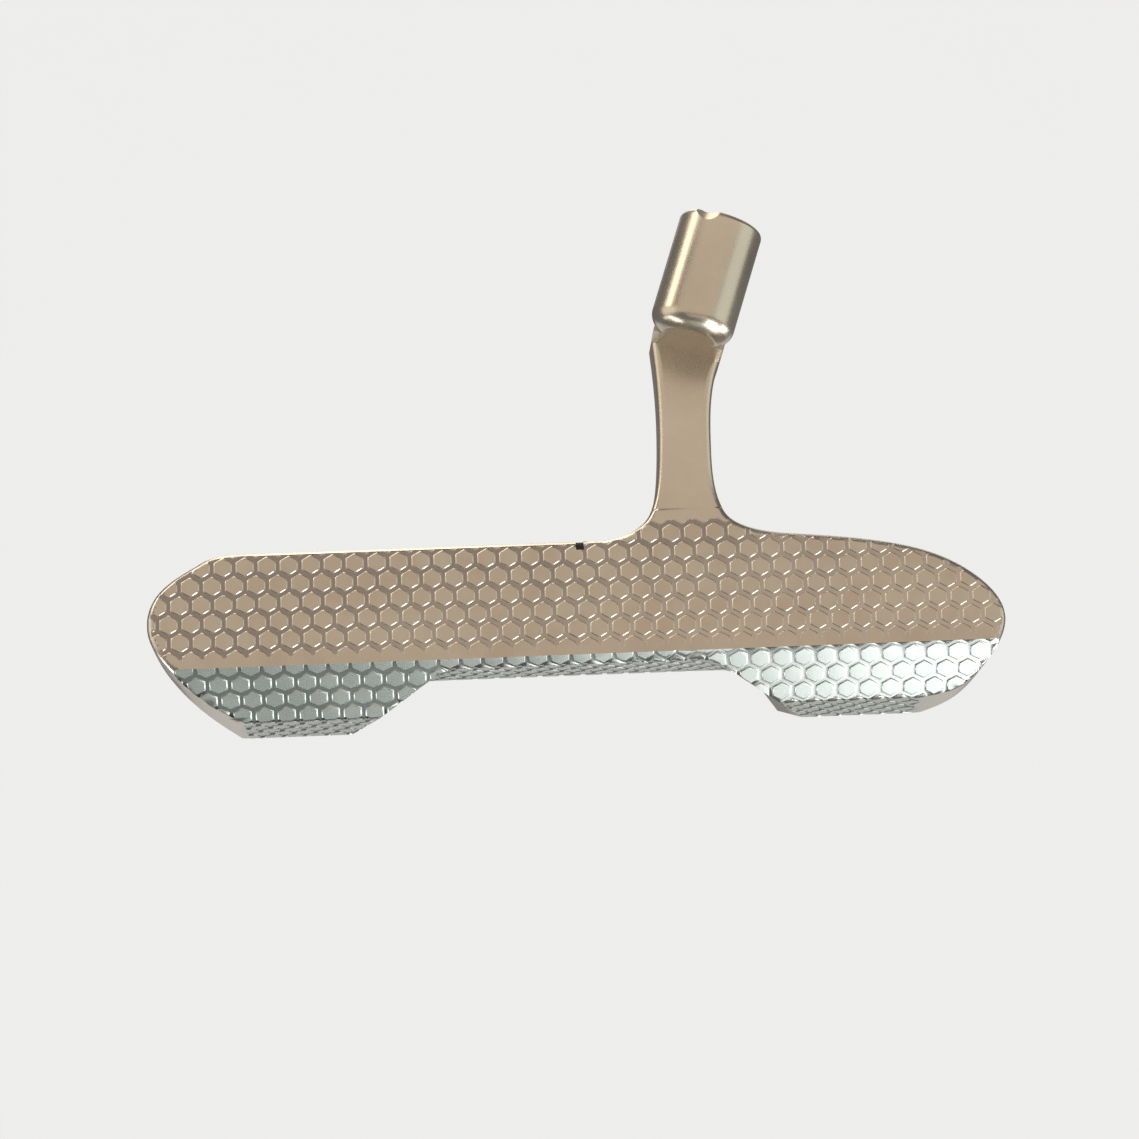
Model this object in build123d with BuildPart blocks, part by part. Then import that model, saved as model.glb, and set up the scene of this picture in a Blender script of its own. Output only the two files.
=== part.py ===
"""Putter head of the mallet kind: milled steel face body with a welded-in plumber's neck, and an
open aluminium rear frame with two screw-in sole weights.

Millimetres. +X runs from toe to heel, -Y is the striking side, +Z is up at address. The origin is
on the ground, at the middle of the head's length and of its depth from hosel to rear edge.
"""

from build123d import *
from math import cos, radians, sin, tan
import os

os.makedirs("parts", exist_ok=True)

# ---------------------------------------------------------------- driving dimensions
HEAD_LENGTH = 124.0
REAR_DEPTH = 60.0  # leading edge to rear edge
TOPLINE_Z = 24.1
LEADING_EDGE_Z = 7.1
LOFT = 3.5  # degrees
BEVEL = 45.0  # degrees between the face and the bevel under it
WALL = 8.5  # leading edge to the back of the face wall
EDGE_ROUND = 1.1
BACK_ROUND = 0.8
THROUGH = 2 * REAR_DEPTH  # longer than any cut is deep
OVERLAP = 0.5
MARGIN = 1.0
VIEW_STANDOFF = 20.0  # front view plane, in front of the leading edge

SOLE_DEPTH = 20.0  # the flat of each lobe ends here
REAR_RISE = 11.0  # degrees, underside and relief behind the flat
RELIEF_Z = 5.8  # roof of the relief between the lobes, at the leading edge
RELIEF_RISE = 3.0  # degrees, towards the back
RELIEF_HALF = 19.1
RELIEF_FLARE = 0.26  # widening of each side per millimetre of depth
RELIEF_RUN = 1.345  # sideways run of its flanks per millimetre of height
RELIEF_ROUND = 5.0
REAR_RELIEF_HALF = 28.8
REAR_RELIEF_RUN = 0.686
CORNER_DEPTH = 27.0  # the wings' sides start here
LEDGE_DEPTH = 14.0
LEDGE_Z = 11.0
SHELF_Z = 6.0  # steel under the rear frame
TAB_DEPTH = 38.0

LIE_LEAN = 18.85  # degrees, shaft axis from vertical, towards the heel
HOSEL_R = 6.15
HOSEL_LENGTH = 17.9
HOSEL_FORWARD = 4.7  # shaft axis in front of the leading edge
SHAFT_BORE_R = 4.75
SHAFT_BORE_DEPTH = 16.0
BORE_CHAMFER = 0.25
RIM_BITE_R = 3.0
RIM_BITE_X = -3.0
RIM_BITE_Y = -5.37  # on the barrel's outside
RIM_BITE_RISE = 2.74
RIM_BITE_LENGTH = 8.0
AXIS_GROUND_X = -0.16  # where the shaft axis meets the ground
HOSEL_FOOT = 55.3  # along the axis, ground to the underside of the elbow
ELBOW_HALF = 5.25
ELBOW_FRONT = 1.5  # behind the shaft axis
ELBOW_HEIGHT = 6.8
ELBOW_BEND = 5.6
FOOT_ROUND = 2.6
RIM_ROUND = 0.9
NECK_THICK = 6.6
STRAP_OVERRUN = 4.0  # past the elbow before it is trimmed
SEAM_Z = 28.4  # the neck stands on the face body's boss here
TENON_R = 2.6
TENON_X = 16.7
TENON_BACK = 4.6
TENON_LENGTH = 7.0

SIGHT_X = 0.8
NOTCH_WIDTH = 1.1
NOTCH_DEPTH = 1.4
PAINT_SETBACK = 0.1

FRAME_TOP = 18.0
FRAME_GAP = 0.05
PLATE_THICK = 3.5
WING_INNER = 29.0
BEAM_WIDTH = 8.0
BRIDGE_DEPTH = 10.0
LINE_WIDTH = 1.4
LINE_DEPTH = 0.6
LINE_SETBACK = 0.1
WINDOW_ROUND = 4.0
FRAME_ROUND = 0.5

WEIGHT_R = 5.0
WEIGHT_THICK = 5.4
WEIGHT_POCKET = 7.0
WEIGHT_X = 39.6
WEIGHT_BACK = 28.5  # along the sloping underside, from the end of the flat
WEIGHT_HEX = 4.0
WEIGHT_HEX_DEPTH = 3.2
WEIGHT_EDGE = 0.5
RING_SECTION_R = 0.75

SCREW_R = 1.5
SCREW_HEAD_R = 2.85
SCREW_HEAD = 1.7
SCREW_LENGTH = 10.0
SCREW_HEX = 2.0
SCREW_HEX_DEPTH = 1.2
SINK_ANGLE = 90.0
SCREW_XS = (37.4, 44.2)
SCREW_BACK = 12.6
DOWEL_R = 1.5
DOWEL_XS = (-37.0, 37.0)
DOWEL_BACK = 18.0
DOWEL_LENGTH = 8.0
DOWEL_SEAT = 3.0
BEAM_PIN_R = 1.0
BEAM_PIN_LENGTH = 9.0
BEAM_PIN_SEAT = 4.5
PIN_CHAMFER = 0.3
GAP = 0.08  # radial play of pins, screws and weights

STANDING = (Align.CENTER, Align.CENTER, Align.MIN)
HANGING = (Align.CENTER, Align.CENTER, Align.MAX)

# ---------------------------------------------------------------- derived values
half = HEAD_LENGTH / 2
hosel_front = HOSEL_FORWARD + HOSEL_R
lead = -(REAR_DEPTH - hosel_front) / 2  # Y of the leading edge
face_top = lead + (TOPLINE_Z - LEADING_EDGE_Z) * tan(radians(LOFT))
bevel_run = LEADING_EDGE_Z * tan(radians(BEVEL - LOFT))
rise = tan(radians(REAR_RISE))
lean = radians(LIE_LEAN)

face_plane = Plane(
    origin=(0, lead, LEADING_EDGE_Z),
    x_dir=(1, 0, 0),
    z_dir=(0, -cos(radians(LOFT)), sin(radians(LOFT))),
)
front_view = Plane(origin=(0, lead - VIEW_STANDOFF, 0), x_dir=(1, 0, 0), z_dir=(0, -1, 0))
underside = Plane(
    origin=(0, lead + SOLE_DEPTH, 0),
    x_dir=(1, 0, 0),
    z_dir=(0, sin(radians(REAR_RISE)), -cos(radians(REAR_RISE))),
)
# flat underside of the elbow; its Z axis is the shaft axis, its Y axis points to the back
hosel_foot = Plane(
    origin=(
        AXIS_GROUND_X * cos(lean) + HOSEL_FOOT * sin(lean),
        lead - HOSEL_FORWARD,
        HOSEL_FOOT * cos(lean) - AXIS_GROUND_X * sin(lean),
    ),
    x_dir=(cos(lean), 0, -sin(lean)),
    z_dir=(sin(lean), 0, cos(lean)),
)

screw_spots = [(side * x, -SCREW_BACK) for side in (-1, 1) for x in SCREW_XS]

# axis of the bite out of the rim: it climbs towards the back, so only the outer lip is cut
rim_notch = Plane(
    origin=hosel_foot.from_local_coords((RIM_BITE_X, RIM_BITE_Y, HOSEL_LENGTH + RIM_BITE_RISE)),
    x_dir=hosel_foot.x_dir,
    z_dir=hosel_foot.y_dir + hosel_foot.z_dir,
)
# mouth of the beam pin's hole, on the back of the face wall
beam_pin_axis = Plane(
    origin=(0, lead + WALL, FRAME_TOP - PLATE_THICK / 2 - LINE_DEPTH / 2),
    x_dir=(1, 0, 0),
    z_dir=(0, 1, 0),
)
elbow_side = Plane(origin=hosel_foot.origin, x_dir=(0, 1, 0), z_dir=hosel_foot.x_dir)
elbow_back = HOSEL_FORWARD + NECK_THICK + (hosel_foot.origin.Z - LEADING_EDGE_Z) * tan(radians(LOFT))
elbow_toe = hosel_foot.from_local_coords((-ELBOW_HALF, 0, 0))
elbow_heel = hosel_foot.from_local_coords((ELBOW_HALF, 0, 0))


def plan_outline(front, back):
    """Closed plan outline of lobes and wings, symmetric, between two depths from the leading edge."""
    with BuildSketch() as plan:
        with BuildLine():
            toe_corner = Spline(
                (half, lead + 3),
                (57.0, lead + 15),
                (48.5, lead + CORNER_DEPTH),
                tangents=((0, 1), (-0.3, 1)),
            )
            side = Line(toe_corner @ 1, (46.0, lead + 48))
            rear_corner = ThreePointArc(side @ 1, (43.0, lead + 57.0), (35.0, lead + REAR_DEPTH))
            ThreePointArc(rear_corner @ 1, (0, lead + 57.5), (-35.0, lead + REAR_DEPTH))
            mirror(rear_corner, about=Plane.YZ)
            mirror(side, about=Plane.YZ)
            mirror(toe_corner, about=Plane.YZ)
            Line((-half, lead + 3), (-half, lead - 1))
            Line((-half, lead - 1), (half, lead - 1))
            Line((half, lead - 1), (half, lead + 3))
        make_face()
        with Locations((0, lead + (front + back) / 2)):
            Rectangle(HEAD_LENGTH + MARGIN, back - front, mode=Mode.INTERSECT)
    return plan.sketch


def front_outline():
    """Toe, topline, boss under the neck and heel, as seen from the front."""
    with BuildSketch(front_view) as outline:
        with BuildLine():
            toe = Spline(
                (-48.5, 0),
                (-58.6, 6.8),
                (-half, 13.2),
                (-60.6, 18.2),
                (-55.0, 22.4),
                (-46.0, TOPLINE_Z),
                tangents=((-1, 0.42), (1, 0)),
            )
            topline = Line(toe @ 1, (3.0, TOPLINE_Z))
            toe_flare = Spline(
                topline @ 1, (9.3, 25.8), (11.5, SEAM_Z), tangents=((1, 0), (0.35, 1))
            )
            seam = Line(toe_flare @ 1, (21.9, SEAM_Z))
            heel_flare = Spline(
                seam @ 1, (24.6, 25.85), (31.5, 24.25), tangents=((0.4, -1), (1, -0.1))
            )
            heel = Spline(
                heel_flare @ 1,
                (45.0, 22.5),
                (57.4, 17.5),
                (half, 10.6),
                (58.2, 3.4),
                (48.5, 0),
                tangents=((1, -0.1), (-1, -0.08)),
            )
            Line(heel @ 1, toe @ 0)
        make_face()
    return outline.sketch


def relief_channel(run, *stations):
    """Space between the lobes, from (depth, half width of its roof, height of its roof) at each
    station and from the sideways run of its flanks."""
    with BuildPart() as channel:
        for depth, roof_half, roof in stations:
            section = Plane(origin=(0, lead + depth, roof), x_dir=(1, 0, 0), z_dir=(0, -1, 0))
            with BuildSketch(section) as profile:
                with BuildLine():
                    Polyline(
                        (-roof_half - run * 2 * RELIEF_Z, -2 * RELIEF_Z),
                        (-roof_half, 0),
                        (roof_half, 0),
                        (roof_half + run * 2 * RELIEF_Z, -2 * RELIEF_Z),
                        close=True,
                    )
                make_face()
                fillet(profile.vertices().group_by(Axis.Y)[-1], RELIEF_ROUND)
        loft()
    return channel.part


def relief_station(depth):
    """Depth, half width and height of the relief between the lobes' flats."""
    return (depth, RELIEF_HALF + RELIEF_FLARE * depth, RELIEF_Z + depth * tan(radians(RELIEF_RISE)))


def rear_relief_station(depth):
    """Depth, half width and height of the relief behind the flats."""
    start_height = relief_station(SOLE_DEPTH)[2]
    return (depth, REAR_RELIEF_HALF, start_height + (depth - SOLE_DEPTH) * rise)


def is_outline_edge(edge):
    """True for the curved parts of the front outline and for the straight topline."""
    return edge.geom_type == GeomType.BSPLINE or abs(edge.center().Z - TOPLINE_Z) < GAP


front_relief = relief_channel(
    RELIEF_RUN, relief_station(-MARGIN), relief_station(SOLE_DEPTH + OVERLAP)
)
rear_relief = relief_channel(
    REAR_RELIEF_RUN, rear_relief_station(SOLE_DEPTH), rear_relief_station(REAR_DEPTH + MARGIN)
)

# ---------------------------------------------------------------- face body
with BuildPart() as face_body:
    # face wall, from the bevel up to the topline and the boss under the neck
    with BuildSketch(Plane.YZ):
        with BuildLine():
            Polyline(
                (lead, LEADING_EDGE_Z),
                (lead + bevel_run, 0),
                (lead + WALL, 0),
                (lead + WALL, SEAM_Z),
                (lead + (SEAM_Z - LEADING_EDGE_Z) * tan(radians(LOFT)), SEAM_Z),
                close=True,
            )
        make_face()
    extrude(amount=half, both=True)
    # lobes, running back under the rear frame
    with BuildSketch():
        add(plan_outline(WALL - OVERLAP, TAB_DEPTH))
        with Locations((0, lead + LEDGE_DEPTH)):
            Rectangle(2 * WING_INNER, TAB_DEPTH, align=(Align.CENTER, Align.MIN), mode=Mode.SUBTRACT)
    extrude(amount=SHELF_Z)
    split(bisect_by=underside, keep=Keep.BOTTOM)
    # ledge behind the wall between the lobes
    with Locations((0, lead + WALL - OVERLAP, 0)):
        Box(
            2 * WING_INNER,
            LEDGE_DEPTH - WALL + OVERLAP,
            LEDGE_Z,
            align=(Align.CENTER, Align.MIN, Align.MIN),
        )
    # toe, topline, boss and heel
    extrude(front_outline(), amount=-THROUGH, mode=Mode.INTERSECT)
    # soft edges around the face and around the back of its wall
    face = face_body.faces().filter_by(face_plane).sort_by(Axis.Y)[0]
    fillet(face.edges().filter_by(is_outline_edge), EDGE_ROUND)
    wall_back = face_body.faces().filter_by(Plane.XZ).sort_by(SortBy.AREA)[-1]
    fillet(wall_back.edges().filter_by(is_outline_edge), BACK_ROUND)
    add(front_relief, mode=Mode.SUBTRACT)
    add(rear_relief, mode=Mode.SUBTRACT)
    # sight notch across the topline
    with Locations((SIGHT_X, lead - MARGIN, TOPLINE_Z)):
        Box(
            NOTCH_WIDTH,
            WALL + 2 * MARGIN,
            2 * NOTCH_DEPTH,
            align=(Align.CENTER, Align.MIN, Align.CENTER),
            mode=Mode.SUBTRACT,
        )
    # socket for the neck's tenon
    with Locations(Plane.XY.offset(SEAM_Z)):
        with Locations((TENON_X, lead + TENON_BACK)):
            Hole(TENON_R + GAP, TENON_LENGTH + GAP)
    # countersunk screws from the underside, dowels from the shelf, beam pin in the wall
    with Locations(underside):
        with Locations(*screw_spots):
            CounterSinkHole(SCREW_R + GAP, SCREW_HEAD_R + GAP, counter_sink_angle=SINK_ANGLE)
    with Locations(Plane.XY.offset(SHELF_Z)):
        with Locations(*[(x, lead + DOWEL_BACK) for x in DOWEL_XS]):
            Hole(DOWEL_R + GAP, DOWEL_SEAT)
    with Locations(beam_pin_axis):
        Hole(BEAM_PIN_R + GAP, BEAM_PIN_SEAT)

face_body.part.label = "face_body"
export_step(face_body.part, "parts/face_body.step")

# ---------------------------------------------------------------- neck with the hosel barrel
with BuildPart() as strap:
    with BuildSketch(front_view):
        with BuildLine():
            toe_foot = Line((11.1, SEAM_Z - 1), (11.5, SEAM_Z))
            toe_side = Spline(
                toe_foot @ 1,
                (12.9, 36.0),
                (13.2, 45.5),
                (elbow_toe.X, elbow_toe.Z),
                tangents=(toe_foot % 1, (-0.08, 1)),
            )
            toe_head = Line(toe_side @ 1, toe_side @ 1 + toe_side % 1)
            heel_foot = Line((22.35, SEAM_Z - 1), (21.9, SEAM_Z))
            heel_side = Spline(
                heel_foot @ 1,
                (20.75, 38.0),
                (elbow_heel.X, elbow_heel.Z),
                tangents=(heel_foot % 1, (0.42, 1)),
            )
            heel_head = Line(heel_side @ 1, heel_side @ 1 + STRAP_OVERRUN * (heel_side % 1))
            Line(toe_head @ 1, heel_head @ 1)
            Line(toe_foot @ 0, heel_foot @ 0)
        make_face()
    extrude(amount=-THROUGH)
    split(bisect_by=face_plane, keep=Keep.BOTTOM)
    split(bisect_by=face_plane.offset(-NECK_THICK), keep=Keep.TOP)
    split(bisect_by=hosel_foot, keep=Keep.BOTTOM)
    split(bisect_by=Plane.XY.offset(SEAM_Z), keep=Keep.TOP)
    strap_front = strap.faces().filter_by(face_plane).sort_by(Axis.Y)[0]
    fillet(strap_front.edges().filter_by(GeomType.BSPLINE), EDGE_ROUND)

with BuildPart() as neck:
    # barrel, round at its foot and at its rim
    with BuildSketch(hosel_foot):
        Circle(HOSEL_R)
    extrude(amount=HOSEL_LENGTH)
    fillet(neck.edges().filter_by(GeomType.CIRCLE).sort_by(Axis.Z)[0], FOOT_ROUND)
    fillet(neck.edges().filter_by(GeomType.CIRCLE).sort_by(Axis.Z)[-1], RIM_ROUND)
    # elbow, stepping forward from the strap to the barrel
    with BuildSketch(elbow_side):
        with BuildLine():
            Line((ELBOW_FRONT, 0), (elbow_back, 0))
            Line((elbow_back, 0), (elbow_back, ELBOW_HEIGHT - ELBOW_BEND))
            RadiusArc(
                (elbow_back, ELBOW_HEIGHT - ELBOW_BEND),
                (elbow_back - ELBOW_BEND, ELBOW_HEIGHT),
                -ELBOW_BEND,
            )
            Line((elbow_back - ELBOW_BEND, ELBOW_HEIGHT), (ELBOW_FRONT, ELBOW_HEIGHT))
            Line((ELBOW_FRONT, ELBOW_HEIGHT), (ELBOW_FRONT, 0))
        make_face()
    extrude(amount=ELBOW_HALF, both=True)
    add(strap.part)
    # tenon in the face body's boss
    with Locations((TENON_X, lead + TENON_BACK, SEAM_Z)):
        Cylinder(TENON_R, TENON_LENGTH, align=HANGING)
    # shaft bore
    with Locations(hosel_foot.offset(HOSEL_LENGTH)):
        CounterSinkHole(SHAFT_BORE_R, SHAFT_BORE_R + BORE_CHAMFER, SHAFT_BORE_DEPTH)
    # shallow thumb notch in the front of the rim
    with Locations(rim_notch):
        Cylinder(RIM_BITE_R, RIM_BITE_LENGTH, mode=Mode.SUBTRACT)

neck.part.label = "neck"
export_step(neck.part, "parts/neck.step")

# ---------------------------------------------------------------- rear frame
window_front = lead + WALL
window_back = lead + REAR_DEPTH - BRIDGE_DEPTH


def is_window_corner(vertex):
    """True for the four corners of the windows at the rear bridge."""
    return abs(vertex.X) < WING_INNER + GAP and abs(vertex.Y - window_back) < GAP


def is_frame_edge(edge):
    """True for edges of the frame's top, except where it meets the face wall."""
    return edge.center().Y > window_front + MARGIN


with BuildPart() as rear_frame:
    # top plate with two windows and a beam between them
    with BuildSketch(Plane.XY.offset(FRAME_TOP)) as plate:
        add(plan_outline(WALL + FRAME_GAP, REAR_DEPTH))
        window_x = (BEAM_WIDTH / 2 + WING_INNER) / 2
        window_y = (window_front + window_back) / 2
        with Locations((-window_x, window_y), (window_x, window_y)):
            Rectangle(WING_INNER - BEAM_WIDTH / 2, window_back - window_front, mode=Mode.SUBTRACT)
        fillet(plate.vertices().filter_by(is_window_corner), WINDOW_ROUND)
    extrude(amount=-PLATE_THICK)
    # wings, deep blocks under the plate
    with BuildSketch() as wings:
        add(plan_outline(WALL + FRAME_GAP, REAR_DEPTH))
        Rectangle(2 * WING_INNER, THROUGH, mode=Mode.SUBTRACT)
    extrude(amount=FRAME_TOP - PLATE_THICK)
    # lap over the steel shelf, and the sloping underside behind it
    with Locations((0, lead + (TAB_DEPTH + FRAME_GAP) / 2, 0)):
        Box(
            HEAD_LENGTH + MARGIN,
            TAB_DEPTH + FRAME_GAP,
            SHELF_Z,
            align=STANDING,
            mode=Mode.SUBTRACT,
        )
    split(bisect_by=underside, keep=Keep.BOTTOM)
    extrude(front_outline(), amount=-THROUGH, mode=Mode.INTERSECT)
    add(rear_relief, mode=Mode.SUBTRACT)
    frame_top = rear_frame.faces().filter_by(Axis.Z).sort_by(Axis.Z)[-1]
    fillet(frame_top.edges().filter_by(is_frame_edge), FRAME_ROUND)
    # pockets for the sole weights, tapped holes for the screws, and pin holes
    with Locations(underside):
        with Locations((-WEIGHT_X, -WEIGHT_BACK), (WEIGHT_X, -WEIGHT_BACK)):
            Hole(WEIGHT_R + GAP, WEIGHT_POCKET)
        with Locations(*screw_spots):
            Hole(SCREW_R + GAP, SCREW_HEAD + SCREW_LENGTH)
    with Locations(*[(x, lead + DOWEL_BACK, SHELF_Z + DOWEL_LENGTH / 2) for x in DOWEL_XS]):
        Cylinder(DOWEL_R + GAP, DOWEL_LENGTH, mode=Mode.SUBTRACT)
    with Locations(beam_pin_axis):
        Cylinder(BEAM_PIN_R + GAP, 2 * (BEAM_PIN_LENGTH - BEAM_PIN_SEAT), mode=Mode.SUBTRACT)
    # groove for the sight line along the beam
    with Locations((0, lead + WALL + FRAME_GAP, FRAME_TOP)):
        Box(
            LINE_WIDTH,
            REAR_DEPTH,
            2 * LINE_DEPTH,
            align=(Align.CENTER, Align.MIN, Align.CENTER),
            mode=Mode.SUBTRACT,
        )

rear_frame.part.label = "rear_frame"
export_step(rear_frame.part, "parts/rear_frame.step")

# ---------------------------------------------------------------- paint fills
with BuildPart() as topline_sight_mark:
    # fills the notch to just under the surface around it
    with Locations((SIGHT_X, lead - MARGIN, TOPLINE_Z - NOTCH_DEPTH)):
        Box(
            NOTCH_WIDTH,
            THROUGH,
            NOTCH_DEPTH - PAINT_SETBACK,
            align=(Align.CENTER, Align.MIN, Align.MIN),
        )
    split(bisect_by=face_plane.offset(-PAINT_SETBACK), keep=Keep.BOTTOM)
    split(bisect_by=Plane.XZ.offset(-(lead + WALL - PAINT_SETBACK)), keep=Keep.TOP)
    front_edge, back_edge = (
        topline_sight_mark.edges().filter_by(Axis.X).group_by(Axis.Z)[-1].sort_by(Axis.Y)
    )
    fillet(front_edge, EDGE_ROUND)
    fillet(back_edge, BACK_ROUND)

topline_sight_mark.part.label = "topline_sight_mark"
export_step(topline_sight_mark.part, "parts/topline_sight_mark.step")

with BuildPart() as beam_sight_line:
    with Locations((0, lead + WALL + FRAME_GAP, FRAME_TOP - LINE_DEPTH)):
        Box(
            LINE_WIDTH,
            REAR_DEPTH - BRIDGE_DEPTH / 2 - WALL,
            LINE_DEPTH - LINE_SETBACK,
            align=(Align.CENTER, Align.MIN, Align.MIN),
        )

beam_sight_line.part.label = "beam_sight_line"
export_step(beam_sight_line.part, "parts/beam_sight_line.step")

# ---------------------------------------------------------------- sole weights and their rings
for name, x in (("toe_weight", -WEIGHT_X), ("heel_weight", WEIGHT_X)):
    with BuildPart() as weight:
        with Locations(underside):
            with Locations((x, -WEIGHT_BACK)):
                Cylinder(WEIGHT_R, WEIGHT_THICK, align=HANGING)
        chamfer(weight.edges().filter_by(GeomType.CIRCLE), WEIGHT_EDGE)
        with BuildSketch(underside):
            with Locations((x, -WEIGHT_BACK)):
                RegularPolygon(WEIGHT_HEX / 2, 6, major_radius=False)
        extrude(amount=-WEIGHT_HEX_DEPTH, mode=Mode.SUBTRACT)
    weight.part.label = name
    export_step(weight.part, f"parts/{name}.step")

    with BuildPart() as ring:
        with Locations(underside.offset(-WEIGHT_POCKET + RING_SECTION_R)):
            with Locations((x, -WEIGHT_BACK)):
                Torus(WEIGHT_R - RING_SECTION_R - 2 * GAP, RING_SECTION_R)
    ring.part.label = f"{name}_ring"
    export_step(ring.part, f"parts/{name}_ring.step")

# ---------------------------------------------------------------- screws and pins
with BuildPart() as frame_screws:
    with Locations(underside):
        with Locations(*screw_spots):
            Cylinder(SCREW_R, SCREW_HEAD + SCREW_LENGTH - GAP, align=HANGING)
            Cone(SCREW_R, SCREW_HEAD_R, SCREW_HEAD_R - SCREW_R, align=HANGING)
    with BuildSketch(underside):
        with Locations(*screw_spots):
            RegularPolygon(SCREW_HEX / 2, 6, major_radius=False)
    extrude(amount=-SCREW_HEX_DEPTH, mode=Mode.SUBTRACT)

frame_screws.part.label = "frame_screws"
export_step(frame_screws.part, "parts/frame_screws.step")

with BuildPart() as dowel_pins:
    with Locations(*[(x, lead + DOWEL_BACK, SHELF_Z - DOWEL_SEAT) for x in DOWEL_XS]):
        Cylinder(DOWEL_R, DOWEL_LENGTH, align=STANDING)
    chamfer(dowel_pins.edges().filter_by(GeomType.CIRCLE), PIN_CHAMFER)

dowel_pins.part.label = "dowel_pins"
export_step(dowel_pins.part, "parts/dowel_pins.step")

with BuildPart() as beam_pin:
    with Locations(beam_pin_axis.offset(-BEAM_PIN_SEAT)):
        Cylinder(BEAM_PIN_R, BEAM_PIN_LENGTH - GAP, align=STANDING)
    chamfer(beam_pin.edges().filter_by(GeomType.CIRCLE), PIN_CHAMFER)

beam_pin.part.label = "beam_pin"
export_step(beam_pin.part, "parts/beam_pin.step")
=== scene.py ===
import math

import bmesh
import bpy
from mathutils import Matrix, Vector


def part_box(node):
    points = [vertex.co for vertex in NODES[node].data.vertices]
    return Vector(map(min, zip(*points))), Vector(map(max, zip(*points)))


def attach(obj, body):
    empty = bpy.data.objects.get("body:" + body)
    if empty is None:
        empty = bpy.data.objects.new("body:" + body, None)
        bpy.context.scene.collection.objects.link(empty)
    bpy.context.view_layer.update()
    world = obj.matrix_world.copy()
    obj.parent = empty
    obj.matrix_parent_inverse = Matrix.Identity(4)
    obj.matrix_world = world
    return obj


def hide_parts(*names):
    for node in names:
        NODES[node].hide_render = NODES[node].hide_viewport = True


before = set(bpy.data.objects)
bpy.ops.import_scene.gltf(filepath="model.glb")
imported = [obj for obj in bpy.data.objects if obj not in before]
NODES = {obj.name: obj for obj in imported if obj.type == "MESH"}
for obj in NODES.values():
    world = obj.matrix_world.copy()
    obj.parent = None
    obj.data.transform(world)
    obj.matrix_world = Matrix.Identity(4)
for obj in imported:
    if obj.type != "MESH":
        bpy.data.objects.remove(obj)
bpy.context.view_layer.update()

# Lengths up to the stage section are in millimetres, and MM turns them into Blender's metres.
MM = 0.001

# The face body, as the CAD has it.
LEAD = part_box("face_body")[0].y / MM  # Y of the leading edge
EDGE_Z = 7.1  # its height
LOFT = math.radians(3.5)
BEVEL = math.radians(41.5)  # the bevel, from vertical
RELIEF_HALF = 19.1  # half width of the relief under the leading edge, at its roof
RELIEF_FLARE = 0.26  # gain in half width per millimetre of depth
RELIEF_ROOF = 5.8
RELIEF_CLIMB = math.radians(3.0)
RELIEF_RUN = 1.345  # sideways run of the relief's flanks per millimetre of height
RELIEF_ROUND = 5.0
ROOT_HEIGHT = 19.0  # the plain root of the neck starts this far over the leading edge

# The honeycomb: hexagonal plateaus, and the grooves milled between them.
PITCH = 3.175
ROW = PITCH * math.sqrt(3) / 2
PLATEAU = 2.28  # across flats, at the surface
GROOVE = 0.16  # depth
LEAST_DEPTH = 0.05  # part of the depth that is left where the grooves run out
SLAB = 0.6  # height of a cutter over the surface
WELD = 0.004  # points of a cutter closer than this become one
ON_SURFACE = 0.004  # how far off a surface a point may be and still lie on it

# Outward normals of the milled surfaces
OUTWARD = {
    "face": Vector((0, -math.cos(LOFT), math.sin(LOFT))),
    "bevel": Vector((0, -math.cos(BEVEL), -math.sin(BEVEL))),
    "sole": Vector((0, 0, -1)),
}


# ------------------------------------------------------------------ honeycomb milling
def face_point(u, v, w):
    """A point u along the face, v up it and w out of it, in millimetres."""
    return (
        u,
        LEAD + v * math.sin(LOFT) - w * math.cos(LOFT),
        EDGE_Z + v * math.cos(LOFT) + w * math.sin(LOFT),
    )


def smooth_step(x, start, end):
    t = min(max((x - start) / (end - start), 0.0), 1.0)
    return t * t * (3 - 2 * t)


def face_cut_point(u, v, w):
    """As face_point, with grooves that run out near the leading edge and near the neck, and lift
    off the surface beyond."""
    depth = smooth_step(v, 0.4, 2.6) * (1 - smooth_step(v, 18.0, 20.6))
    lift = 0.06 * (1 - smooth_step(v, 0.2, 0.5)) + 0.10 * smooth_step(v, 20.0, 20.9)
    return face_point(u, v, lift + (w if w > 0 else w * max(depth, LEAST_DEPTH)))


def bevel_point(u, v, w):
    """A point u along the bevel, v down it from the leading edge and w out of it. The rows shift
    and spread a little from the toe lobe to the heel lobe, and run out at the leading edge."""
    heelward = smooth_step(u, 0.0, 26.0)
    x = u - 1.25 * heelward
    s = 0.25 - 1.23 * heelward + (0.985 + 0.05 * heelward) * v
    if w < 0:
        w *= max(smooth_step(s, 0.1, 0.6), LEAST_DEPTH)
    w += 0.06 * (1 - smooth_step(s, 0.05, 0.3))
    return (
        x,
        LEAD + s * math.sin(BEVEL) - w * math.cos(BEVEL),
        EDGE_Z - s * math.cos(BEVEL) - w * math.sin(BEVEL),
    )


def underside_height(x, depth):
    """Height of the underside: flat lobes, and the relief between them with round upper corners.
    The relief widens and climbs towards the back."""
    half = RELIEF_HALF + RELIEF_FLARE * depth
    roof = RELIEF_ROOF + depth * math.tan(RELIEF_CLIMB)
    slope = math.atan(1 / RELIEF_RUN)
    x = abs(x)
    start = half - RELIEF_ROUND * math.tan(slope / 2)
    end = start + RELIEF_ROUND * math.sin(slope)
    if x <= start:
        z = roof
    elif x <= end:
        z = roof - RELIEF_ROUND + math.sqrt(RELIEF_ROUND ** 2 - (x - start) ** 2)
    else:
        z = roof - (x - half) * math.tan(slope)
    return max(z, 0.0)


def sole_point(u, v, w):
    """A point u along the sole, v behind the leading edge and w down from the surface."""
    return (u, LEAD + v, underside_height(u, v) - w)


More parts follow.
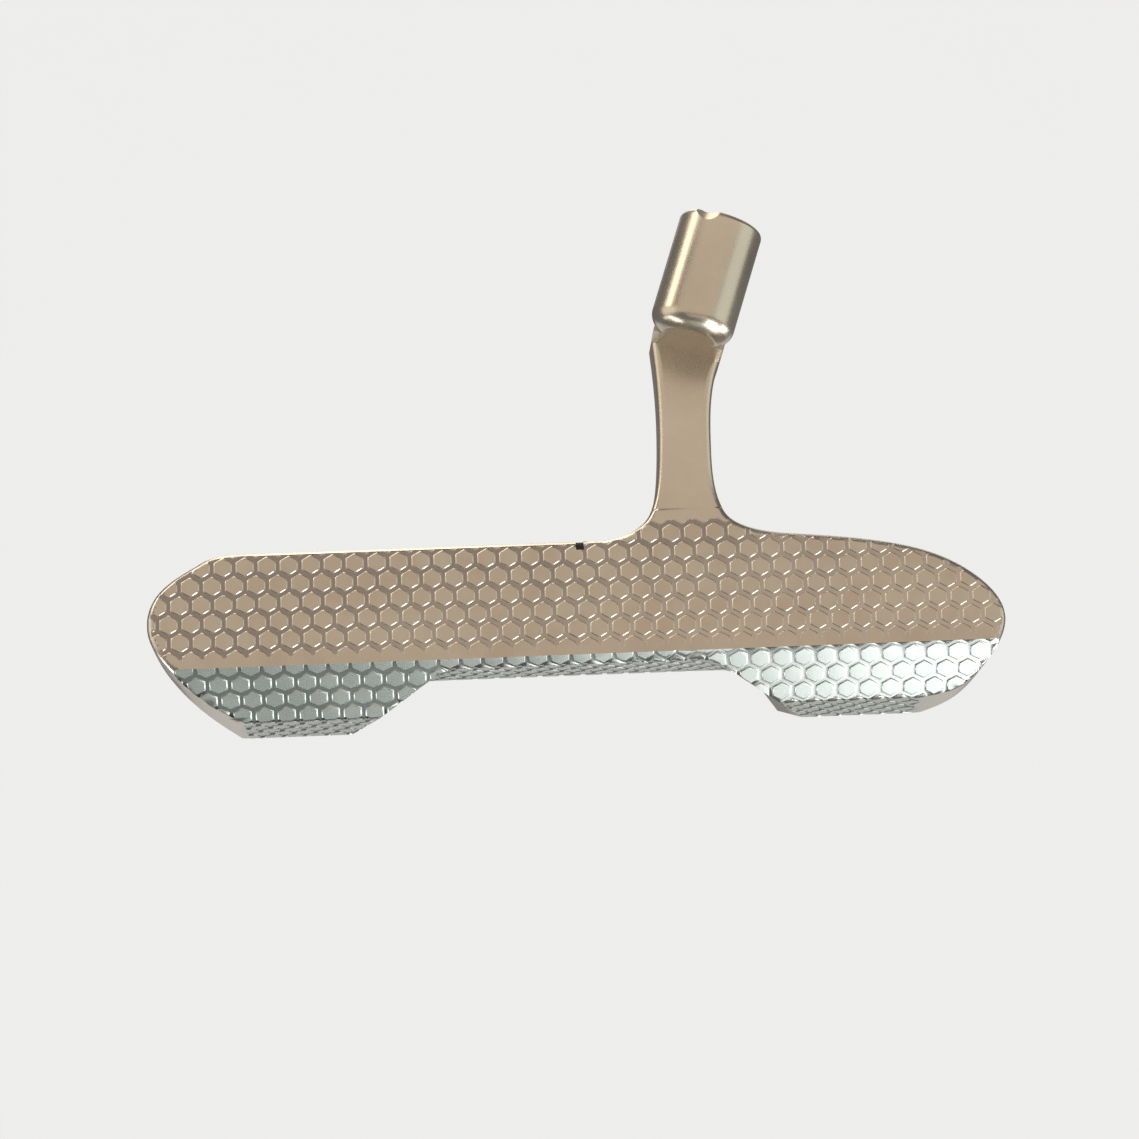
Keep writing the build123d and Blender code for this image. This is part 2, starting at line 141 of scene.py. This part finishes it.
def honeycomb(name, place, origin, columns, rows, keep, steps=1):
    """A slab that follows a surface, with one tapered hexagonal hole for each plateau.
    Taking it away from the body leaves the plateaus and mills the grooves between them.
    Each side of a hexagon has as many edges as steps, to follow a curved surface."""
    corner = PITCH / math.sqrt(3)
    inner = PLATEAU / math.sqrt(3)
    # (radius of the hole, height over the surface): wall with a rounded crest and foot
    profile = [
        (inner - SLAB * 0.55, SLAB),
        (inner, 0.0),
        (inner + 0.055, -0.03),
        (inner + 0.15, -GROOVE + 0.02),
        (inner + 0.21, -GROOVE),
    ]
    bm = bmesh.new()

    def ring(u0, v0, radius, height):
        points = []
        for k in range(6):
            a0 = math.radians(30 + 60 * k)
            a1 = math.radians(90 + 60 * k)
            for step in range(steps):
                t = step / steps
                du = radius * ((1 - t) * math.cos(a0) + t * math.cos(a1))
                dv = radius * ((1 - t) * math.sin(a0) + t * math.sin(a1))
                points.append(bm.verts.new(place(u0 + du, v0 + dv, height)))
        return points

    cells = []
    for j in rows:
        for i in columns:
            u0 = origin[0] + PITCH * (i + 0.5 * (j % 2))
            v0 = origin[1] + ROW * j
            if keep(u0, v0):
                cells.append((u0, v0, 2 * i + j % 2, j))
    # directions to the six neighbours, in half pitches and rows, in the order of the sides
    towards = ((1, 1), (-1, 1), (-2, 0), (-1, -1), (1, -1), (2, 0))
    # the sides of the cells; one that no neighbour shares is on the slab's rim, and gets a wall
    outline = {}
    for u0, v0, column, row in cells:
        rings = [ring(u0, v0, corner, SLAB)]
        rings += [ring(u0, v0, r, h) for r, h in profile]
        rings.append(ring(u0, v0, corner, -GROOVE))
        count = len(rings[0])
        for a, b in zip(rings, rings[1:]):
            for k in range(count):
                m = (k + 1) % count
                bm.faces.new((a[k], a[m], b[m], b[k]))
        for k in range(count):
            du, dv = towards[k // steps]
            key = (2 * column + du, 2 * row + dv)
            m = (k + 1) % count
            wall = (rings[0][k], rings[0][m], rings[-1][m], rings[-1][k])
            outline.setdefault(key, []).append(wall)
    for quads in outline.values():
        if len(quads) == steps:
            for quad in quads:
                bm.faces.new(quad)
    bmesh.ops.remove_doubles(bm, verts=bm.verts, dist=WELD)
    bmesh.ops.recalc_face_normals(bm, faces=bm.faces)
    mesh = bpy.data.meshes.new(name)
    bm.to_mesh(mesh)
    bm.free()
    cutter = bpy.data.objects.new(name, mesh)
    bpy.context.scene.collection.objects.link(cutter)
    return cutter


def join_level_faces(mesh):
    """Joins the slivers that the cuts leave on each plateau of the face, bevel and sole.
    The angle limit is wide, because a sliver's own normal can't be relied on."""
    bm = bmesh.new()
    bm.from_mesh(mesh)
    edge = Vector((0, LEAD, EDGE_Z))
    for surface, point in (("face", edge), ("bevel", edge), ("sole", Vector())):
        on_plane = {v for v in bm.verts if abs((v.co - point).dot(OUTWARD[surface])) < ON_SURFACE}
        level = {f for f in bm.faces if all(v in on_plane for v in f.verts)}
        inner = [e for e in bm.edges if len(e.link_faces) == 2 and level.issuperset(e.link_faces)]
        bmesh.ops.dissolve_limit(bm, angle_limit=math.radians(80), verts=[], edges=inner)
    bm.to_mesh(mesh)
    bm.free()


def milled_body():
    """The face body with its honeycomb, made from the CAD node's own mesh."""
    bm = bmesh.new()
    bm.from_mesh(NODES["face_body"].data)
    bmesh.ops.scale(bm, vec=(1 / MM,) * 3, verts=bm.verts)
    bmesh.ops.remove_doubles(bm, verts=bm.verts, dist=0.0005)
    mesh = bpy.data.meshes.new("milled_body")
    bm.to_mesh(mesh)
    bm.free()
    body = bpy.data.objects.new("milled_body", mesh)
    bpy.context.scene.collection.objects.link(body)
    # each with its way to place a point, its first cell, its columns and rows, and the cells kept
    cutters = [
        honeycomb(
            "face_cutter",
            face_cut_point,
            (-3.28, 9.41 - 4 * ROW),
            range(-20, 23),
            range(-1, 12),
            lambda u, v: abs(u) < 64 and -3 < v < 21 and (v < 18.4 or 8 < u < 25),
            steps=3,
        ),
        honeycomb(
            "bevel_cutter",
            bevel_point,
            (0.39, -0.01),
            range(-22, 22),
            range(-1, 5),
            lambda u, v: abs(u) < 66,
        ),
        honeycomb(
            "sole_cutter",
            sole_point,
            (0.9, 2.35 - ROW),
            range(-20, 20),
            range(0, 10),
            lambda u, v: abs(u) < 55 and v < 20.0,
            steps=3,
        ),
    ]
    for cutter in cutters:
        cut = body.modifiers.new(cutter.name, "BOOLEAN")
        cut.operation = "DIFFERENCE"
        cut.solver = "MANIFOLD"
        cut.object = cutter
    graph = bpy.context.evaluated_depsgraph_get()
    result = bpy.data.meshes.new_from_object(body.evaluated_get(graph))
    body.modifiers.clear()
    for cutter in cutters:
        bpy.data.objects.remove(cutter)
    join_level_faces(result)
    result.transform(Matrix.Scale(MM, 4))
    body.data = result
    return body


# ------------------------------------------------------------------ materials
def node_tree(name):
    """A new material, with its nodes, its links and its shader."""
    material = bpy.data.materials.new(name)
    material.use_nodes = True
    nodes = material.node_tree.nodes
    return material, nodes, material.node_tree.links, nodes["Principled BSDF"]


def place_texture(nodes, links, scale):
    """Texture coordinates fixed to the object, stretched by scale per metre."""
    where = nodes.new("ShaderNodeTexCoord")
    mapping = nodes.new("ShaderNodeMapping")
    mapping.inputs["Scale"].default_value = scale
    links.new(where.outputs["Object"], mapping.inputs["Vector"])
    return mapping.outputs["Vector"]


def noise(nodes, links, vector, detail=4.0, rough=0.55):
    texture = nodes.new("ShaderNodeTexNoise")
    texture.inputs["Scale"].default_value = 1.0
    texture.inputs["Detail"].default_value = detail
    texture.inputs["Roughness"].default_value = rough
    links.new(vector, texture.inputs["Vector"])
    return texture.outputs["Fac"]


def spread(nodes, links, value, low, high, start=0.3, end=0.7):
    """Maps a noise value to a range."""
    ranged = nodes.new("ShaderNodeMapRange")
    ranged.inputs["From Min"].default_value = start
    ranged.inputs["From Max"].default_value = end
    ranged.inputs["To Min"].default_value = low
    ranged.inputs["To Max"].default_value = high
    links.new(value, ranged.inputs["Value"])
    return ranged.outputs["Result"]


def tint(nodes, links, value, dark, light):
    """A colour between dark and light, for a noise value around a half."""
    ramp = nodes.new("ShaderNodeValToRGB")
    ramp.color_ramp.elements[0].position = 0.35
    ramp.color_ramp.elements[1].position = 0.65
    ramp.color_ramp.elements[0].color = (*dark, 1)
    ramp.color_ramp.elements[1].color = (*light, 1)
    links.new(value, ramp.inputs["Fac"])
    return ramp.outputs["Color"]


def metal(name, dark, light, roughness, grain, grain_height, cloud=60.0, painted_shade_drift=None):
    """Metal with blotches of tone and roughness, and a fine grain. With drift (x, y, z, start),
    the tone also goes from dark to light as x, y and z times the place in metres, plus start,
    goes from 0 to 1; this ramp is painted shade."""
    material, nodes, links, shader = node_tree(name)
    shader.inputs["Metallic"].default_value = 1.0
    blotch = noise(nodes, links, place_texture(nodes, links, (cloud,) * 3), 5.0, 0.6)
    fine = noise(nodes, links, place_texture(nodes, links, grain), 3.0, 0.6)
    tone = blotch
    if painted_shade_drift:
        where = nodes.new("ShaderNodeTexCoord")
        along = nodes.new("ShaderNodeVectorMath")
        along.operation = "DOT_PRODUCT"
        links.new(where.outputs["Object"], along.inputs[0])
        along.inputs[1].default_value = painted_shade_drift[:3]
        shifted = nodes.new("ShaderNodeMath")
        shifted.operation = "ADD"
        links.new(along.outputs["Value"], shifted.inputs[0])
        shifted.inputs[1].default_value = painted_shade_drift[3]
        part = spread(nodes, links, shifted.outputs["Value"], 0.32, 0.68, 0.0, 1.0)
        both = nodes.new("ShaderNodeMath")
        both.operation = "ADD"
        links.new(part, both.inputs[0])
        links.new(spread(nodes, links, blotch, -0.08, 0.08), both.inputs[1])
        tone = both.outputs["Value"]
    links.new(tint(nodes, links, tone, dark, light), shader.inputs["Base Color"])
    rough = nodes.new("ShaderNodeMath")
    rough.operation = "ADD"
    links.new(spread(nodes, links, blotch, -0.04, 0.04), rough.inputs[0])
    links.new(spread(nodes, links, fine, roughness[0], roughness[1]), rough.inputs[1])
    links.new(rough.outputs["Value"], shader.inputs["Roughness"])
    bump = nodes.new("ShaderNodeBump")
    bump.inputs["Strength"].default_value = 1.0
    bump.inputs["Distance"].default_value = grain_height * MM
    links.new(fine, bump.inputs["Height"])
    links.new(bump.outputs["Normal"], shader.inputs["Normal"])
    return material


def paint(name, dark, light, roughness):
    """Matt paint, or rubber, with a fine grain."""
    material, nodes, links, shader = node_tree(name)
    fine = noise(nodes, links, place_texture(nodes, links, (900,) * 3))
    shader.inputs["Specular IOR Level"].default_value = 0.2
    links.new(tint(nodes, links, fine, dark, light), shader.inputs["Base Color"])
    links.new(spread(nodes, links, fine, roughness - 0.08, roughness + 0.08), shader.inputs["Roughness"])
    bump = nodes.new("ShaderNodeBump")
    bump.inputs["Strength"].default_value = 0.5
    bump.inputs["Distance"].default_value = 0.02 * MM
    links.new(fine, bump.inputs["Height"])
    links.new(bump.outputs["Normal"], shader.inputs["Normal"])
    return material


# grain, in cycles per metre along X, Y and Z
EVEN = (2600,) * 3
UPWARD = (9000, 9000, 900)
ALONG = (900, 9000, 9000)

# painted reflection: the steel is neutral; the warm tan of the face's plateaus and grooves stands for the
# warm surround they reflect, while the bevel and sole steel keeps a near-neutral grey
plateau = metal("plateau", (0.55, 0.47, 0.39), (0.60, 0.55, 0.46), (0.26, 0.34), EVEN, 0.002, cloud=130.0)
# painted shade: the face's groove floors are darker than the plateaus, and darker still towards the top and
# the toe
groove = metal(
    "groove", (0.33, 0.29, 0.27), (0.565, 0.505, 0.43), (0.22, 0.30), EVEN, 0.002, painted_shade_drift=(9, 0, -45, 1.1)
)
steel = metal("bevel_steel", (0.51, 0.54, 0.52), (0.60, 0.625, 0.60), (0.26, 0.32), EVEN, 0.0004)
# painted shade: the bevel and sole groove floors are darker than their plateaus, darkest towards the toe
# and lighter towards the heel
steel_groove = metal(
    "bevel_groove", (0.27, 0.29, 0.28), (0.52, 0.54, 0.52), (0.22, 0.28), EVEN, 0.0004, painted_shade_drift=(9, 0, 0, 0.5)
)
# painted reflection: satin and body_satin are tinted warm tan for the warm surround they reflect; the steel
# itself is neutral
satin = metal("satin", (0.60, 0.535, 0.45), (0.68, 0.61, 0.51), (0.25, 0.32), UPWARD, 0.0012)
body_satin = metal("body_satin", (0.58, 0.54, 0.47), (0.67, 0.625, 0.55), (0.24, 0.31), ALONG, 0.0012)
anodised = metal("anodised", (0.28, 0.27, 0.26), (0.35, 0.34, 0.33), (0.38, 0.46), (7000,) * 3, 0.012)
turned = metal("turned", (0.52, 0.51, 0.49), (0.62, 0.61, 0.59), (0.18, 0.26), (4000,) * 3, 0.004)
blackened = metal("blackened", (0.09, 0.09, 0.10), (0.14, 0.14, 0.15), (0.32, 0.40), (4000,) * 3, 0.006)
black_paint = paint("black_paint", (0.012, 0.012, 0.012), (0.025, 0.025, 0.024), 0.5)
white_paint = paint("white_paint", (0.74, 0.74, 0.72), (0.84, 0.84, 0.82), 0.45)
rubber = paint("ring_rubber", (0.015, 0.015, 0.015), (0.03, 0.03, 0.03), 0.6)

for node, material in (
    ("neck", satin),
    ("rear_frame", anodised),
    ("topline_sight_mark", black_paint),
    ("beam_sight_line", white_paint),
    ("toe_weight", turned),
    ("heel_weight", turned),
    ("toe_weight_ring", rubber),
    ("heel_weight_ring", rubber),
    ("frame_screws", blackened),
    ("dowel_pins", turned),
    ("beam_pin", turned),
):
    mesh = NODES[node].data
    mesh.materials.clear()
    mesh.materials.append(material)


# ------------------------------------------------------------------ milled body
def depth_under(x, y, z):
    """(surface, depth) under the nearest milled surface: face, bevel or sole, in millimetres."""
    dy, dz = y - LEAD, z - EDGE_Z
    face = dy * math.cos(LOFT) - dz * math.sin(LOFT)
    bevel = dy * math.cos(BEVEL) + dz * math.sin(BEVEL)
    sole = z - underside_height(x, dy)
    return min((abs(face), "face", face), (abs(bevel), "bevel", bevel), (abs(sole), "sole", sole))


DEEPEST = GROOVE + 0.03  # nothing milled lies further from its surface
FLOOR = 0.05  # a groove's floor lies deeper than this
LEVEL, FLAT = 0.98, 0.99  # least tilt for a floor or a plateau, and for flat shading


def finish_body(body):
    """Gives each part of the milled body its material; plateaus and groove floors are flat. Groove floors
    get the darker groove metals, painted shade in the recesses.
    """
    mesh = body.data
    mesh.materials.clear()
    slots = (body_satin, plateau, groove, steel, steel_groove, satin)
    for material in slots:
        mesh.materials.append(material)
    mesh.shade_smooth()
    for polygon in mesh.polygons:
        x, y, z = polygon.center / MM
        distance, surface, depth = depth_under(x, y, z)
        tilt = polygon.normal.dot(OUTWARD[surface])  # 1 where it is level with the surface
        lowest = min(mesh.vertices[v].co.z for v in polygon.vertices) / MM
        if distance > DEEPEST:
            finish = body_satin
        # groove floors take the darker groove metals: painted shade in the recesses
        elif depth > FLOOR and tilt > LEVEL:
            finish = groove if surface == "face" else steel_groove
        elif surface != "face":
            finish = steel
        elif tilt < LEVEL:
            finish = body_satin
        elif lowest > EDGE_Z + ROOT_HEIGHT:
            finish = satin
        else:
            finish = plateau
        polygon.material_index = slots.index(finish)
        polygon.use_smooth = tilt < FLAT and abs(depth) > ON_SURFACE
    mesh.set_sharp_from_angle(angle=math.radians(32))
    weigh = body.modifiers.new("normals", "WEIGHTED_NORMAL")
    weigh.mode = "FACE_AREA"
    weigh.weight = 50
    weigh.keep_sharp = True
    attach(body, "root")
    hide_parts("face_body")


finish_body(milled_body())


# ------------------------------------------------------------------ stage, lights and camera
def one_sided(name, colour, glow):
    """A matt pale surface that is seen only from its front."""
    material, nodes, links, shader = node_tree(name)
    shader.inputs["Roughness"].default_value = 0.8
    shader.inputs["Specular IOR Level"].default_value = 0.1
    shader.inputs["Emission Color"].default_value = (*colour, 1)
    shader.inputs["Emission Strength"].default_value = glow
    soft = noise(nodes, links, place_texture(nodes, links, (6,) * 3), 2.0)
    darker = [0.98 * part for part in colour]
    links.new(tint(nodes, links, soft, darker, colour), shader.inputs["Base Color"])
    clear = nodes.new("ShaderNodeBsdfTransparent")
    side = nodes.new("ShaderNodeNewGeometry")
    mix = nodes.new("ShaderNodeMixShader")
    links.new(side.outputs["Backfacing"], mix.inputs["Fac"])
    links.new(shader.outputs["BSDF"], mix.inputs[1])
    links.new(clear.outputs["BSDF"], mix.inputs[2])
    links.new(mix.outputs["Shader"], nodes["Material Output"].inputs["Surface"])
    return material


def stage_mesh(name, corners, faces, material):
    """A piece of the stage that the camera sees, and that neither lights nor shades the head."""
    mesh = bpy.data.meshes.new(name)
    mesh.from_pydata(corners, [], faces)
    mesh.materials.append(material)
    piece = bpy.data.objects.new(name, mesh)
    bpy.context.scene.collection.objects.link(piece)
    piece.visible_shadow = False
    piece.visible_diffuse = False
    piece.visible_glossy = False
    piece.visible_transmission = False


ROOM = 4.0  # half the size of the pale room, and of the floor in it
stage_mesh(
    "floor",
    [(-ROOM, -ROOM, 0), (ROOM, -ROOM, 0), (ROOM, ROOM, 0), (-ROOM, ROOM, 0)],
    [(0, 1, 2, 3)],
    one_sided("pale_floor", (0.80, 0.80, 0.795), 0.30),
)
stage_mesh(
    "pale_room",
    [(x, y, z) for z in (-ROOM, ROOM) for y in (-ROOM, ROOM) for x in (-ROOM, ROOM)],
    [(0, 1, 3, 2), (4, 6, 7, 5), (0, 4, 5, 1), (1, 5, 7, 3), (3, 7, 6, 2), (2, 6, 4, 0)],
    one_sided("pale_wall", (0.30, 0.30, 0.298), 2.6),
)


HEAD = Vector((0, -0.01, 0.02))  # the lights' aim, in metres


def card(name, direction, distance, size, radiance, colour):
    """A soft light that faces the head: where it is, in metres, and how bright it looks."""
    light = bpy.data.lights.new(name, "AREA")
    light.shape = "RECTANGLE"
    light.size, light.size_y = size
    light.energy = radiance * math.pi * size[0] * size[1]
    light.color = colour
    lamp = bpy.data.objects.new(name, light)
    lamp.location = Vector(direction).normalized() * distance + HEAD
    lamp.rotation_euler = (-Vector(direction)).to_track_quat("-Z", "Y").to_euler()
    lamp.visible_camera = False
    bpy.context.scene.collection.objects.link(lamp)


WHITE = (1.0, 0.99, 0.96)
COOL = (0.95, 0.99, 1.0)
CREAM = (1.0, 0.90, 0.74)
WARM = (1.0, 0.84, 0.68)
card("front", (-0.05, -0.95, 0.30), 1.2, (3.4, 1.2), 0.55, WARM)
card("left_strip", (-0.97, -0.20, 0.12), 1.1, (0.9, 0.7), 0.95, CREAM)
card("right_strip", (0.96, -0.24, 0.14), 1.1, (0.9, 0.7), 0.75, (0.96, 1.0, 0.88))
card("low_front", (0.05, -0.90, -0.40), 1.1, (1.2, 0.35), 0.45, CREAM)
card("high_front", (-0.25, -0.54, 0.84), 1.2, (0.5, 0.4), 0.8, CREAM)
card("high_left", (-0.50, -0.09, 0.86), 1.1, (0.4, 1.4), 2.7, CREAM)
card("top", (-0.06, 0.25, 0.97), 1.2, (0.45, 1.2), 1.4, CREAM)
card("low_right", (0.42, -0.20, -0.80), 0.8, (0.55, 0.45), 2.7, COOL)
card("down_right", (0.58, -0.48, -0.64), 1.0, (0.5, 0.5), 2.8, WHITE)
card("low_left", (-0.15, -0.30, -0.90), 0.9, (0.55, 0.5), 0.36, (0.92, 1.0, 0.93))
card("left", (-0.80, 0.08, -0.59), 1.0, (0.5, 0.6), 3.2, WHITE)
card("right", (0.80, 0.14, -0.55), 1.0, (0.5, 0.6), 3.2, WHITE)
card("low_behind", (0.03, 0.98, -0.20), 1.2, (1.6, 0.5), 0.5, WHITE)
card("behind", (0.1, 0.9, 0.9), 1.3, (1.2, 0.8), 0.8, WHITE)

world = bpy.data.worlds.new("studio")
world.use_nodes = True
sky = world.node_tree.nodes["Background"]
sky.inputs["Color"].default_value = (0.92, 0.90, 0.86, 1)
sky.inputs["Strength"].default_value = 0.20
bpy.context.scene.world = world
bpy.context.scene.view_settings.view_transform = "Standard"

# The camera looks up at the face from in front of it and below, turned a little on its own axis.
CAMERA_AT = Vector((-0.0185, -0.5363, -0.0874))
CAMERA_ROLL = math.radians(-2.549)
camera_data = bpy.data.cameras.new("camera")
camera_data.lens = 114.42
camera_data.sensor_width = 36
camera_data.clip_start = 0.01
camera = bpy.data.objects.new("camera", camera_data)
forward = Vector((0.0337, 0.9783, 0.2046)).normalized()
level = forward.cross(Vector((0, 0, 1))).normalized()
right = math.cos(CAMERA_ROLL) * level + math.sin(CAMERA_ROLL) * level.cross(forward)
up = right.cross(forward)
camera.matrix_world = Matrix.Translation(CAMERA_AT) @ Matrix((right, up, -forward)).transposed().to_4x4()
bpy.context.scene.collection.objects.link(camera)
bpy.context.scene.camera = camera
